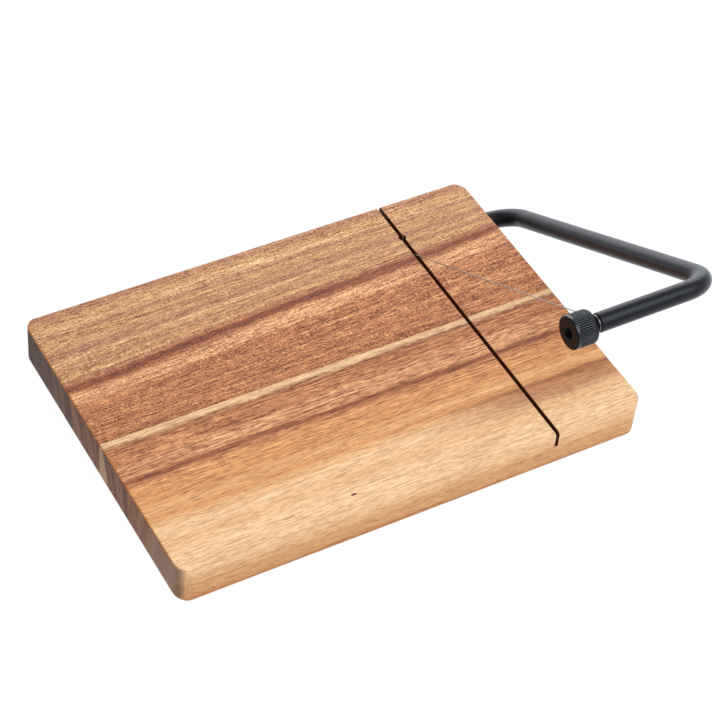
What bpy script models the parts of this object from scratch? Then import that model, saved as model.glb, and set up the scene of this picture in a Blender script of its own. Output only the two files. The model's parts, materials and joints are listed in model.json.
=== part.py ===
"""A wooden cheese board with a swinging wire cutter.

Frame: X runs along the board towards the handle, Y runs across it towards the
pivot side, and Z points up.  The origin is the middle of the board's underside,
and the feet reach below it.  All lengths are in metres.

The handle pieces are drawn in the handle's own frame: its X axis is the pivot
axis and its arm points along -Y, as it lies when the cutter is closed.  One
empty on the pivot axis lifts that frame to the raised rest position.
"""
import math

import bmesh
import bpy
from mathutils import Matrix, Vector

# Clearances
GAP = 0.0003                      # between two pieces that touch or fit together
CUT_MARGIN = 0.002                # how far a cutter runs past the face it opens

# Board: two edge-glued planks
BOARD_LENGTH = 0.250
BOARD_WIDTH = 0.1765
BOARD_THICKNESS = 0.022
SEAM_Y = -0.0017
CORNER_RADIUS = 0.008             # upright corners, seen from above
TOP_ROUND = 0.002                 # long top edges
BOTTOM_ROUND = 0.0025             # long bottom edges
ROUND_STEPS = 6

# Feet, each glued into a shallow recess in the underside
FOOT_RADIUS = 0.005
FOOT_HEIGHT = 0.002               # below the underside of the board
FOOT_CHAMFER = 0.0004
FOOT_INSET = 0.020                # foot centre to board edge
FOOT_RECESS_DEPTH = 0.0008

# Wire slot and the round hole that lets the wire's ball in
SLOT_X = 0.075
SLOT_WIDTH = 0.002
SLOT_FLOOR_FRONT = 0.013          # above the underside of the board
SLOT_FLOOR_REAR = 0.0085
ACCESS_HOLE_RADIUS = 0.002
ACCESS_HOLE_AHEAD = 0.0025        # in front of the pivot axis

# Pivot
PIVOT_Y = 0.0648
ROD_RADIUS = 0.00475
ROD_TIP_PAST_SLOT = 0.014
BUSHING_WALL = 0.0015
BUSHING_LENGTH = 0.024

# Handle: one bent rod
HANDLE_RAISE = math.radians(30.0)
ARM_LENGTH = 0.187                # pivot axis to knob axis
LEG_LENGTH = 0.0675               # slot plane to the middle of the cross bar
BEND_RADIUS = 0.0165
BEND_STEPS = 10
ROD_END_CHAMFER = 0.0006
ROD_BEVEL_RESOLUTION = 12         # gives 28 sides

# Wire
WIRE_RADIUS = 0.00025
WIRE_BEVEL_RESOLUTION = 2         # gives 8 sides
STRAND_PITCH = 0.0007             # the two strands inside the crimp sleeve
BALL_RADIUS = 0.0015
BALL_OFFSET = 0.0018              # ball centre off the pivot axis, into the pocket
POCKET_LEAN = math.radians(60.0)  # the pocket opens forwards, into line with the access hole
BALL_CLEARANCE = 2 * GAP          # around the ball in its pocket
BALL_SEGMENTS = 20
BALL_RINGS = 12
EYE_STEPS = 20

# Crimp sleeve that closes the eye
CRIMP_START = 0.0095              # from the eye's upper tangent point
CRIMP_LENGTH = 0.005
CRIMP_WALL = 0.00045
CRIMP_ROUND_STEPS = 8
TAIL_BEND_BEFORE_CRIMP = 0.0009
TAIL_PAST_CRIMP = 0.0008

# Clamp: stud, washers and knob
STUD_RADIUS = 0.0025
STUD_LENGTH = 0.0205
STUD_IN_ROD = 0.008
STUD_CHAMFER = 0.0005
WASHER_RADIUS = 0.0043
WASHER_THICKNESS = 0.0008
WASHER_CHAMFER = 0.0001
KNOB_RADIUS = 0.00825
KNOB_LENGTH = 0.012
KNOB_FRONT_CHAMFER = 0.0008
KNOB_REAR_ROUND = 0.0025
KNOB_REAR_STEPS = 5
KNOB_MOUTH_CHAMFER = 0.0005
KNURL_COUNT = 48
KNURL_DEPTH = 0.0004
KNURL_WIDTH = 0.0007
KNURL_START = 0.0022              # from the knob's front face

# Sides of round pieces
SMALL_TURN_STEPS = 32
BUSHING_TURN_STEPS = 48
KNOB_TURN_STEPS = 96
HOLE_SIDES = 32
SMALL_HOLE_SIDES = 24

# Worked out from the dimensions above
PIVOT_Z = BOARD_THICKNESS / 2
BORE_RADIUS = ROD_RADIUS + GAP
BUSHING_RADIUS = BORE_RADIUS + BUSHING_WALL
EYE_RADIUS = STUD_RADIUS + GAP + WIRE_RADIUS
FIT_RADIUS = STUD_RADIUS + GAP    # every hole that the stud passes through
INNER_WASHER_X = SLOT_X + WIRE_RADIUS + GAP
ROD_SHOULDER_X = INNER_WASHER_X + WASHER_THICKNESS + GAP
OUTER_WASHER_X = SLOT_X - WIRE_RADIUS - GAP - WASHER_THICKNESS
KNOB_REAR_X = OUTER_WASHER_X - GAP
KNOB_FRONT_X = KNOB_REAR_X - KNOB_LENGTH


# Scene helpers

def clear_scene():
    """Remove every object, so that the script can be run again."""
    for old in list(bpy.data.objects):
        bpy.data.objects.remove(old, do_unlink=True)


def new_collection(name):
    collection = bpy.data.collections.new(name)
    bpy.context.scene.collection.children.link(collection)
    return collection


def new_material(name, color, roughness, metallic=0.0):
    material = bpy.data.materials.new(name)
    material.use_nodes = True
    shader = material.node_tree.nodes["Principled BSDF"]
    shader.inputs["Base Color"].default_value = (*color, 1.0)
    shader.inputs["Roughness"].default_value = roughness
    shader.inputs["Metallic"].default_value = metallic
    material.diffuse_color = (*color, 1.0)
    return material


def add_piece(name, data, collection, material=None, parent=None):
    """Put a mesh or curve in the scene as one named piece."""
    piece = bpy.data.objects.new(name, data)
    if material is not None:
        data.materials.append(material)
    collection.objects.link(piece)
    piece.parent = parent
    return piece


def mark_cutter(cutter):
    cutter.hide_render = True
    cutter.display_type = 'WIRE'
    return cutter


def cut(piece, cutter, operation='DIFFERENCE'):
    modifier = piece.modifiers.new(cutter.name, 'BOOLEAN')
    modifier.operation = operation
    modifier.object = cutter
    modifier.solver = 'EXACT'


def shade_round(piece, sharp_angle=math.radians(35.0)):
    piece.data.shade_smooth()
    piece.data.set_sharp_from_angle(angle=sharp_angle)


def curve_to_mesh(piece):
    """Replace a curve piece by its closed mesh, in the same place."""
    bpy.context.view_layer.update()
    graph = bpy.context.evaluated_depsgraph_get()
    mesh = bpy.data.meshes.new_from_object(piece.evaluated_get(graph))
    shape = bmesh.new()
    shape.from_mesh(mesh)
    bmesh.ops.remove_doubles(shape, verts=shape.verts, dist=1e-6)
    bmesh.ops.recalc_face_normals(shape, faces=shape.faces)
    shape.to_mesh(mesh)
    shape.free()
    name = piece.name
    piece.name = name + "_curve"
    solid = bpy.data.objects.new(name, mesh)
    piece.users_collection[0].objects.link(solid)
    solid.parent = piece.parent
    solid.matrix_world = piece.matrix_world
    curve = piece.data
    bpy.data.objects.remove(piece, do_unlink=True)
    bpy.data.curves.remove(curve)
    return solid


# Shape helpers

def arc(center, radius, start, end, steps):
    """Points of a circular arc in a plane, both ends included."""
    points = []
    for index in range(steps + 1):
        angle = start + (end - start) * index / steps
        point = Vector((center[0] + radius * math.cos(angle), center[1] + radius * math.sin(angle)))
        points.append(point)
    return points


def add_spline(curve, points, closed):
    spline = curve.splines.new('POLY')
    spline.points.add(len(points) - 1)
    for spot, point in zip(spline.points, points):
        spot.co = (*point, *([0.0] * (3 - len(point))), 1.0)
    spline.use_cyclic_u = closed
    return spline


def flat_prism(name, outlines, thickness, collection, material=None, parent=None):
    """A flat outline, with any holes in it, thickened evenly about its own XY plane."""
    curve = bpy.data.curves.new(name, 'CURVE')
    curve.dimensions = '2D'
    curve.fill_mode = 'BOTH'
    curve.extrude = thickness / 2
    for outline in outlines:
        add_spline(curve, outline, closed=True)
    return add_piece(name, curve, collection, material, parent)


def round_rod(name, points, radius, bevel_resolution, collection, material=None, parent=None):
    """A solid round rod along a path of points."""
    curve = bpy.data.curves.new(name, 'CURVE')
    curve.dimensions = '3D'
    curve.bevel_depth = radius
    curve.bevel_resolution = bevel_resolution
    curve.use_fill_caps = True
    add_spline(curve, points, closed=False)
    return add_piece(name, curve, collection, material, parent)


def turned(name, profile, closed, collection, material=None, parent=None, steps=SMALL_TURN_STEPS):
    """Turn a profile of (radius, height) points about Z.

    The profile runs down its outer side.  A closed one is a ring, an open one
    starts and ends on the axis.
    """
    mesh = bpy.data.meshes.new(name)
    edges = [(index, index + 1) for index in range(len(profile) - 1)]
    if closed:
        edges.append((len(profile) - 1, 0))
    mesh.from_pydata([(radius, 0.0, height) for radius, height in profile], edges, [])
    piece = add_piece(name, mesh, collection, material, parent)
    screw = piece.modifiers.new("turn", 'SCREW')
    screw.axis = 'Z'
    screw.angle = math.tau
    screw.steps = steps
    screw.render_steps = steps
    screw.use_merge_vertices = True
    screw.merge_threshold = 1e-6
    screw.use_smooth_shade = True
    return piece


def cylinder_cutter(name, radius, start, end, collection, parent=None, sides=HOLE_SIDES):
    """A round cutter from one point to another."""
    along = Vector(end) - Vector(start)
    mesh = bpy.data.meshes.new(name)
    shape = bmesh.new()
    bmesh.ops.create_cone(shape, cap_ends=True, segments=sides,
                          radius1=radius, radius2=radius, depth=along.length)
    shape.to_mesh(mesh)
    shape.free()
    cutter = add_piece(name, mesh, collection, parent=parent)
    cutter.location = (Vector(start) + Vector(end)) / 2
    cutter.rotation_mode = 'QUATERNION'
    cutter.rotation_quaternion = Vector((0.0, 0.0, 1.0)).rotation_difference(along)
    return mark_cutter(cutter)


def box_cutter(name, low, high, collection, parent=None):
    size = Vector(high) - Vector(low)
    mesh = bpy.data.meshes.new(name)
    shape = bmesh.new()
    bmesh.ops.create_cube(shape, size=1.0)
    bmesh.ops.scale(shape, vec=size, verts=shape.verts)
    shape.to_mesh(mesh)
    shape.free()
    cutter = add_piece(name, mesh, collection, parent=parent)
    cutter.location = (Vector(low) + Vector(high)) / 2
    return mark_cutter(cutter)


# Board

def plank_section(inner_y, side):
    """Cross-section of a plank in (Y, Z), with its outer long edges rounded.

    side is +1 for the rear plank and -1 for the front one.
    """
    outer = BOARD_WIDTH / 2
    top = arc((outer - TOP_ROUND, BOARD_THICKNESS - TOP_ROUND), TOP_ROUND,
              math.pi / 2, 0.0, ROUND_STEPS)
    bottom = arc((outer - BOTTOM_ROUND, BOTTOM_ROUND), BOTTOM_ROUND,
                 0.0, -math.pi / 2, ROUND_STEPS)
    outline = [Vector((side * point.x, point.y)) for point in top + bottom]
    outline.append(Vector((inner_y, 0.0)))
    outline.append(Vector((inner_y, BOARD_THICKNESS)))
    return outline


def board_outline():
    """The board seen from above: a rectangle with round corners."""
    half_x = BOARD_LENGTH / 2 - CORNER_RADIUS
    half_y = BOARD_WIDTH / 2 - CORNER_RADIUS
    points = []
    corners = ((1, 1), (-1, 1), (-1, -1), (1, -1))
    for quarter, (sign_x, sign_y) in enumerate(corners):
        start = quarter * math.pi / 2
        center = (sign_x * half_x, sign_y * half_y)
        points += arc(center, CORNER_RADIUS, start, start + math.pi / 2, ROUND_STEPS)
    return points


def foot_places():
    """Where each foot stands under the board."""
    foot_x = BOARD_LENGTH / 2 - FOOT_INSET
    foot_y = BOARD_WIDTH / 2 - FOOT_INSET
    return {"foot_rear_left": (-foot_x, foot_y), "foot_rear_right": (foot_x, foot_y),
            "foot_front_left": (-foot_x, -foot_y), "foot_front_right": (foot_x, -foot_y)}


def stand_along_x(section):
    """Turn a flat section so that its own X and Y become the board's Y and Z."""
    section.rotation_euler = (math.pi / 2, 0.0, math.pi / 2)


def build_plank(name, inner_y, side, outline_cutter, slot_cutter, parts, cutters, material):
    """A plank: its section along X, trimmed to the board's outline, slotted and recessed for its feet."""
    length = BOARD_LENGTH + 2 * CUT_MARGIN
    plank = flat_prism(name, [plank_section(inner_y, side)], length, parts)
    stand_along_x(plank)
    plank = curve_to_mesh(plank)
    plank.data.materials.append(material)
    cut(plank, outline_cutter, 'INTERSECT')
    cut(plank, slot_cutter)
    for foot_name, (x, y) in foot_places().items():
        if y * side > 0:
            cut(plank, cylinder_cutter(foot_name + "_recess", FOOT_RADIUS + GAP, (x, y, -CUT_MARGIN),
                                       (x, y, FOOT_RECESS_DEPTH), cutters))
    return plank


def build_slot_cutter(cutters):
    """The wire's slot.  Its floor falls towards the rear, where the closed wire lies deepest."""
    reach = BOARD_WIDTH / 2
    above = BOARD_THICKNESS + CUT_MARGIN
    # The floor's slope is carried on past both long edges of the board
    overrun = (SLOT_FLOOR_FRONT - SLOT_FLOOR_REAR) * CUT_MARGIN / BOARD_WIDTH
    outline = [(-reach - CUT_MARGIN, SLOT_FLOOR_FRONT + overrun),
               (reach + CUT_MARGIN, SLOT_FLOOR_REAR - overrun),
               (reach + CUT_MARGIN, above), (-reach - CUT_MARGIN, above)]
    slot = flat_prism("wire_slot", [outline], SLOT_WIDTH, cutters)
    slot.location.x = SLOT_X
    stand_along_x(slot)
    return mark_cutter(curve_to_mesh(slot))


def build_board(parts, cutters, wood, dark_wood):
    outline = flat_prism("board_outline", [board_outline()], BOARD_THICKNESS * 2, cutters)
    outline.location.z = PIVOT_Z
    outline_cutter = mark_cutter(curve_to_mesh(outline))
    slot_cutter = build_slot_cutter(cutters)
    rear = build_plank("rear_plank", SEAM_Y + GAP / 2, 1, outline_cutter, slot_cutter,
                       parts, cutters, dark_wood)
    build_plank("front_plank", SEAM_Y - GAP / 2, -1, outline_cutter, slot_cutter,
                parts, cutters, wood)

    end_x = BOARD_LENGTH / 2 + CUT_MARGIN
    bore_end_x = SLOT_X - ROD_TIP_PAST_SLOT - GAP
    seat_x = BOARD_LENGTH / 2 - BUSHING_LENGTH - GAP
    hole_y = PIVOT_Y - ACCESS_HOLE_AHEAD
    cut(rear, cylinder_cutter("rod_bore", BORE_RADIUS, (bore_end_x, PIVOT_Y, PIVOT_Z),
                              (end_x, PIVOT_Y, PIVOT_Z), cutters))
    cut(rear, cylinder_cutter("bushing_seat", BUSHING_RADIUS + GAP, (seat_x, PIVOT_Y, PIVOT_Z),
                              (end_x, PIVOT_Y, PIVOT_Z), cutters))
    cut(rear, cylinder_cutter("ball_access_hole", ACCESS_HOLE_RADIUS, (SLOT_X, hole_y, PIVOT_Z),
                              (SLOT_X, hole_y, BOARD_THICKNESS + CUT_MARGIN), cutters,
                              sides=SMALL_HOLE_SIDES))


def build_bushing(parts, material):
    """The liner in the end of the board that grips the handle rod."""
    profile = [(BUSHING_RADIUS, BUSHING_LENGTH), (BUSHING_RADIUS, 0.0),
               (BORE_RADIUS, 0.0), (BORE_RADIUS, BUSHING_LENGTH)]
    bushing = turned("pivot_bushing", profile, True, parts, material, steps=BUSHING_TURN_STEPS)
    bushing.location = (BOARD_LENGTH / 2 - BUSHING_LENGTH, PIVOT_Y, PIVOT_Z)
    bushing.rotation_euler = (0.0, math.pi / 2, 0.0)


def build_feet(parts, material):
    top = FOOT_HEIGHT + FOOT_RECESS_DEPTH - GAP
    rim = FOOT_RADIUS - FOOT_CHAMFER
    profile = [(0.0, top), (FOOT_RADIUS, top), (FOOT_RADIUS, FOOT_CHAMFER), (rim, 0.0), (0.0, 0.0)]
    for name, (x, y) in foot_places().items():
        foot = turned(name, profile, False, parts, material)
        foot.location = (x, y, -FOOT_HEIGHT)


# Handle

def in_pocket(distance):
    """A point on the ball pocket's axis, in (Y, Z), at a distance from the pivot axis."""
    return Vector((-math.sin(POCKET_LEAN), math.cos(POCKET_LEAN))) * distance


def rod_path():
    """Middle line of the rod: pivot leg, bend, cross bar, bend, knob leg."""
    bar_x = SLOT_X + LEG_LENGTH
    inner_x = bar_x - BEND_RADIUS
    tip_x = SLOT_X - ROD_TIP_PAST_SLOT
    near_bend = arc((inner_x, -BEND_RADIUS), BEND_RADIUS, math.pi / 2, 0.0, BEND_STEPS)
    far_bend = arc((inner_x, -ARM_LENGTH + BEND_RADIUS), BEND_RADIUS, 0.0, -math.pi / 2, BEND_STEPS)
    points = [Vector((tip_x, 0.0)), Vector((tip_x + ROD_END_CHAMFER, 0.0))]
    points += near_bend
    points += far_bend
    points.append(Vector((ROD_SHOULDER_X + ROD_END_CHAMFER, -ARM_LENGTH)))
    points.append(Vector((ROD_SHOULDER_X, -ARM_LENGTH)))
    return points


def build_rod(parts, cutters, material, handle_axis):
    """The bent rod, with the pocket for the wire's ball and the hole for the stud."""
    rod = round_rod("handle_rod", rod_path(), ROD_RADIUS, ROD_BEVEL_RESOLUTION, parts,
                    parent=handle_axis)
    end_scale = (ROD_RADIUS - ROD_END_CHAMFER) / ROD_RADIUS
    rod.data.splines[0].points[0].radius = end_scale
    rod.data.splines[0].points[-1].radius = end_scale
    rod = curve_to_mesh(rod)
    rod.data.materials.append(material)
    shade_round(rod)

    outside = ROD_RADIUS + CUT_MARGIN
    pocket_floor = in_pocket(BALL_OFFSET - BALL_RADIUS - GAP)
    pocket_mouth = in_pocket(outside)
    cut(rod, cylinder_cutter("ball_pocket", BALL_RADIUS + BALL_CLEARANCE, (SLOT_X, *pocket_floor),
                             (SLOT_X, *pocket_mouth), cutters, handle_axis, SMALL_HOLE_SIDES))
    ball = in_pocket(BALL_OFFSET)
    half_slit = WIRE_RADIUS + GAP
    cut(rod, box_cutter("wire_slit", (SLOT_X - half_slit, -outside, ball.y - half_slit),
                        (SLOT_X + half_slit, ball.x, outside), cutters, handle_axis))
    cut(rod, cylinder_cutter("stud_hole", FIT_RADIUS,
                             (ROD_SHOULDER_X - CUT_MARGIN, -ARM_LENGTH, 0.0),
                             (ROD_SHOULDER_X + STUD_IN_ROD + GAP, -ARM_LENGTH, 0.0),
                             cutters, handle_axis))


def tangent_point(outside, center, radius, side):
    """Where a line from an outside point touches a circle, on the upper (+1) or lower (-1) side."""
    reach = outside - center
    swing = math.acos(radius / reach.length)
    angle = math.atan2(reach.y, reach.x) + side * swing
    return center + radius * Vector((math.cos(angle), math.sin(angle)))


def wire_points():
    """The wire's middle line in (Y, Z): strand from the ball, eye, tail beside the strand."""
    ball = in_pocket(BALL_OFFSET)
    stud = Vector((-ARM_LENGTH, 0.0))
    upper = tangent_point(ball, stud, EYE_RADIUS, 1)
    back = (ball - upper).normalized()
    start = ball - back * (BALL_RADIUS + GAP)
    beside = Vector((back.y, -back.x)) * STRAND_PITCH
    bend = upper + back * (CRIMP_START - TAIL_BEND_BEFORE_CRIMP) + beside
    tail_end = upper + back * (CRIMP_START + CRIMP_LENGTH + TAIL_PAST_CRIMP) + beside
    lower = tangent_point(bend, stud, EYE_RADIUS, -1)
    first = math.atan2(upper.y - stud.y, upper.x - stud.x)
    last = math.atan2(lower.y - stud.y, lower.x - stud.x) + math.tau
    return [start] + arc(stud, EYE_RADIUS, first, last, EYE_STEPS) + [bend, tail_end]


def stadium(pitch, radius):
    """Outline of two half circles joined by straight sides, with their centres a pitch apart."""
    upper = arc((0.0, pitch / 2), radius, 0.0, math.pi, CRIMP_ROUND_STEPS)
    lower = arc((0.0, -pitch / 2), radius, math.pi, math.tau, CRIMP_ROUND_STEPS)
    return upper + lower


def build_wire(parts, material, handle_axis):
    """The cutting wire with the ball at its pivot end and the sleeve that closes its eye."""
    points = wire_points()
    path = [Vector((SLOT_X, point.x, point.y)) for point in points]
    round_rod("cutting_wire", path, WIRE_RADIUS, WIRE_BEVEL_RESOLUTION, parts, material, handle_axis)

    ball_mesh = bpy.data.meshes.new("wire_ball")
    shape = bmesh.new()
    bmesh.ops.create_uvsphere(shape, u_segments=BALL_SEGMENTS, v_segments=BALL_RINGS,
                              radius=BALL_RADIUS)
    shape.to_mesh(ball_mesh)
    shape.free()
    ball = add_piece("wire_ball", ball_mesh, parts, material, handle_axis)
    ball.location = (SLOT_X, *in_pocket(BALL_OFFSET))
    shade_round(ball)

    # The sleeve is an oval tube around both strands, in line with the wire
    upper = points[1]
    back = (points[0] - upper).normalized()
    beside = Vector((back.y, -back.x))
    middle = upper + back * (CRIMP_START + CRIMP_LENGTH / 2) + beside * (STRAND_PITCH / 2)
    hole = stadium(STRAND_PITCH, WIRE_RADIUS + GAP)
    outside = stadium(STRAND_PITCH, WIRE_RADIUS + GAP + CRIMP_WALL)
    crimp = flat_prism("wire_crimp", [outside, hole], CRIMP_LENGTH, parts, material, handle_axis)
    crimp.location = (SLOT_X, middle.x, middle.y)
    crimp.rotation_euler = (math.pi / 2 + math.atan2(back.y, back.x), 0.0, 0.0)


# Clamp at the end of the handle

def place_on_knob_axis(piece, x):
    """Lay a turned piece along X on the knob's axis, its lower end at x in the handle frame."""
    piece.location = (x - SLOT_X, 0.0, 0.0)
    piece.rotation_euler = (0.0, math.pi / 2, 0.0)


def build_stud(parts, material, knob_axis):
    rim = STUD_RADIUS - STUD_CHAMFER
    profile = [(0.0, STUD_LENGTH), (rim, STUD_LENGTH), (STUD_RADIUS, STUD_LENGTH - STUD_CHAMFER),
               (STUD_RADIUS, STUD_CHAMFER), (rim, 0.0), (0.0, 0.0)]
    stud = turned("clamp_stud", profile, False, parts, material, knob_axis)
    place_on_knob_axis(stud, ROD_SHOULDER_X + STUD_IN_ROD - STUD_LENGTH)


def build_washers(parts, material, knob_axis):
    edge = WASHER_THICKNESS - WASHER_CHAMFER
    rim = WASHER_RADIUS - WASHER_CHAMFER
    profile = [(rim, WASHER_THICKNESS), (WASHER_RADIUS, edge), (WASHER_RADIUS, WASHER_CHAMFER),
               (rim, 0.0), (FIT_RADIUS, 0.0), (FIT_RADIUS, WASHER_THICKNESS)]
    for name, x in (("inner_washer", INNER_WASHER_X), ("outer_washer", OUTER_WASHER_X)):
        washer = turned(name, profile, True, parts, material, knob_axis)
        place_on_knob_axis(washer, x)


def knob_profile():
    """Half section of the knob, rear end up: a ring with a round rear edge."""
    shoulder = arc((KNOB_RADIUS - KNOB_REAR_ROUND, KNOB_LENGTH - KNOB_REAR_ROUND), KNOB_REAR_ROUND,
                   math.pi / 2, 0.0, KNOB_REAR_STEPS)
    profile = [(point.x, point.y) for point in shoulder]
    profile.append((KNOB_RADIUS, KNOB_FRONT_CHAMFER))
    profile.append((KNOB_RADIUS - KNOB_FRONT_CHAMFER, 0.0))
    profile.append((FIT_RADIUS + KNOB_MOUTH_CHAMFER, 0.0))
    profile.append((FIT_RADIUS, KNOB_MOUTH_CHAMFER))
    profile.append((FIT_RADIUS, KNOB_LENGTH))
    return profile


def build_knob(parts, cutters, material, knob_axis):
    knob = turned("tension_knob", knob_profile(), True, parts, material, knob_axis, KNOB_TURN_STEPS)
    place_on_knob_axis(knob, KNOB_FRONT_X)

    # One cutter holds all the grooves of the knurl: square bars turned on edge
    mesh = bpy.data.meshes.new("knurl_grooves")
    shape = bmesh.new()
    bar_length = KNOB_LENGTH - KNURL_START + CUT_MARGIN
    for index in range(KNURL_COUNT):
        angle = math.tau * (index + 0.5) / KNURL_COUNT
        bar = bmesh.ops.create_cone(shape, cap_ends=True, segments=4, depth=bar_length,
                                    radius1=KNURL_WIDTH / 2, radius2=KNURL_WIDTH / 2)["verts"]
        center = KNOB_RADIUS + KNURL_WIDTH / 2 - KNURL_DEPTH
        offset = Vector((center * math.cos(angle), center * math.sin(angle),
                         KNURL_START + bar_length / 2))
        turn = Matrix.Rotation(angle, 3, 'Z')
        bmesh.ops.rotate(shape, verts=bar, cent=(0.0, 0.0, 0.0), matrix=turn)
        bmesh.ops.translate(shape, verts=bar, vec=offset)
    shape.to_mesh(mesh)
    shape.free()
    grooves = mark_cutter(add_piece("knurl_grooves", mesh, cutters, parent=knob_axis))
    place_on_knob_axis(grooves, KNOB_FRONT_X)
    cut(knob, grooves)


def main():
    clear_scene()
    parts = new_collection("cheese_wire_cutter")
    cutters = new_collection("cutters")

    dark_wood = new_material("acacia_heartwood", (0.36, 0.17, 0.075), 0.5)
    wood = new_material("acacia_pale", (0.62, 0.38, 0.19), 0.5)
    black_steel = new_material("black_coated_steel", (0.02, 0.02, 0.022), 0.38, 0.4)
    bright_steel = new_material("bright_steel", (0.62, 0.62, 0.60), 0.28, 1.0)
    nylon = new_material("black_nylon", (0.03, 0.03, 0.03), 0.55)
    rubber = new_material("grey_rubber", (0.09, 0.09, 0.09), 0.8)

    handle_axis = bpy.data.objects.new("handle_axis", None)
    handle_axis.location = (0.0, PIVOT_Y, PIVOT_Z)
    handle_axis.rotation_euler = (-HANDLE_RAISE, 0.0, 0.0)
    parts.objects.link(handle_axis)
    knob_axis = bpy.data.objects.new("knob_axis", None)
    knob_axis.location = (SLOT_X, -ARM_LENGTH, 0.0)
    knob_axis.parent = handle_axis
    parts.objects.link(knob_axis)

    build_board(parts, cutters, wood, dark_wood)
    build_bushing(parts, nylon)
    build_feet(parts, rubber)
    build_rod(parts, cutters, black_steel, handle_axis)
    build_wire(parts, bright_steel, handle_axis)
    build_stud(parts, bright_steel, knob_axis)
    build_washers(parts, bright_steel, knob_axis)
    build_knob(parts, cutters, black_steel, knob_axis)


main()
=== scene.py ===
"""Looks of the cheese wire cutter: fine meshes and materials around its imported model.

The frame is the CAD's: X along the board towards the handle, Y across it towards the
pivot, Z up, origin in the middle of the board's underside.  Lengths are in metres, and
in millimetres where a name ends in _MM and inside the wood materials.
"""
import json
import math

import bmesh
import bpy
from mathutils import Matrix, Vector


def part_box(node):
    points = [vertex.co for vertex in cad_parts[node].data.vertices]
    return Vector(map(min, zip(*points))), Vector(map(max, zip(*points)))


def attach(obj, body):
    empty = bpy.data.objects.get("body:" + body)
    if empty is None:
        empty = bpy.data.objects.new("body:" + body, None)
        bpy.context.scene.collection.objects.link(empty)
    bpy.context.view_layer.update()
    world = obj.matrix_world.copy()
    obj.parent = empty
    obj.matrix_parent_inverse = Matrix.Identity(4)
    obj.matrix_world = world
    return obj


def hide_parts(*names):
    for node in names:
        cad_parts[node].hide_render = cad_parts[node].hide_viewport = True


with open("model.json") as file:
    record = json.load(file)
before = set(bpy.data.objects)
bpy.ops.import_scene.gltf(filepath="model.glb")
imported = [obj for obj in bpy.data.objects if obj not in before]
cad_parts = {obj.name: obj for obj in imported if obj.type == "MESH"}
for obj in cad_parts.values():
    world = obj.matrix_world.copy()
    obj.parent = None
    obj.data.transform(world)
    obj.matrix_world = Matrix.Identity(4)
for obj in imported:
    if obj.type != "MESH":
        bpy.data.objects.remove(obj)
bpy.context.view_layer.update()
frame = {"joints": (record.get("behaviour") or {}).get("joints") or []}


# Places and sizes read from the frame

def box_middle(node):
    low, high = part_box(node)
    return (low + high) / 2


def box_radius(node):
    """Radius of a round node that lies along X."""
    low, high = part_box(node)
    return (high.z - low.z) / 2


JOINTS = {joint["name"]: joint for joint in frame["joints"]}
REAR_LOW, REAR_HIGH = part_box("rear_plank")
FRONT_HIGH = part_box("front_plank")[1]
HALF_LENGTH = REAR_HIGH.x
HALF_WIDTH = REAR_HIGH.y
THICKNESS = REAR_HIGH.z
SEAM_Y = (REAR_LOW.y + FRONT_HIGH.y) / 2
PIVOT = Vector(JOINTS["handle_swing"]["pos_m"])
KNOB_AXIS = Vector(JOINTS["knob_turn"]["pos_m"])
SLOT_X = box_middle("wire_ball").x
ARM = Vector((KNOB_AXIS.y - PIVOT.y, KNOB_AXIS.z - PIVOT.z))
ARM_LENGTH = ARM.length
HANDLE_RAISE = math.atan2(ARM.y, -ARM.x)
# The handle's own frame: X on the pivot axis, arm along -Y
HANDLE_FRAME = Matrix.Translation((0.0, PIVOT.y, PIVOT.z)) @ Matrix.Rotation(-HANDLE_RAISE, 4, 'X')
KNOB_FRAME = HANDLE_FRAME @ Matrix.Translation((0.0, -ARM_LENGTH, 0.0))

# Board
CORNER_RADIUS = 0.008
TOP_ROUND = 0.002  # long top edges
BOTTOM_ROUND = 0.0025  # long bottom edges
TOP_ARRIS = 0.0010  # easing of the edges that cross the grain
BOTTOM_ARRIS = 0.0022
CORNER_STEPS = 28
ROUND_STEPS = 10
ARRIS_STEPS = 5
SLOT_WIDTH = 0.002
SLOT_FLOOR_FRONT = 0.013
SLOT_FLOOR_REAR = 0.0085
SLOT_MOUTH = 0.00015  # tiny chamfer along the slot's mouth
ACCESS_HOLE_RADIUS = 0.002
ACCESS_HOLE_AHEAD = 0.0025  # in front of the pivot axis
ROD_CLEARANCE = 0.0003
SEAT_CLEARANCE = 0.0003
FOOT_RECESS_DEPTH = 0.0008
FEET = ("foot_rear_left", "foot_rear_right", "foot_front_left", "foot_front_right")
FOOT_DIMPLE = 0.0004  # depth of the dimple under each foot
BUSHING_ROUND = 0.0003
BUSHING_MOUTH_ROUND = 0.0005
CUT_MARGIN = 0.002  # how far cutters reach out of a surface

# Handle rod
ROD_RADIUS = PIVOT.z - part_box("handle_rod")[0].z
BAR_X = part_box("handle_rod")[1].x - ROD_RADIUS
BEND_RADIUS = 0.0165
BEND_STEPS = 32
ROD_SIDES = 64
ROD_END_ROUND = 0.0006
ROD_END_STEPS = 5
STUD_HOLE_DEPTH = 0.0083

# Wire, ball and crimp
WIRE_RADIUS = 0.00025
STRAND_PITCH = 0.0007
EYE_STEPS = 48
WIRE_SIDES = 14
BALL_RADIUS = box_radius("wire_ball")
BALL_CENTER = HANDLE_FRAME.inverted() @ box_middle("wire_ball")
POCKET_CLEARANCE = 0.0006
CRIMP_START = 0.0095
CRIMP_LENGTH = 0.005
CRIMP_WALL = 0.00045
CRIMP_RINGS = 28
CRIMP_STEPS = 12
CRIMP_CLEARANCE = 0.00005
PRESS_DEPTH = 0.00014  # of the two dents in the crimp
FLARE = 0.00008  # easing of the crimp's ends
TAIL_BEND = 0.0009  # the wire's tail bends this far before the crimp
TAIL_END = 0.0008  # and ends this far behind it
NECK_LENGTH = 0.0006  # of the sleeve between ball and wire
NECK_WALL = 0.00018

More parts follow.
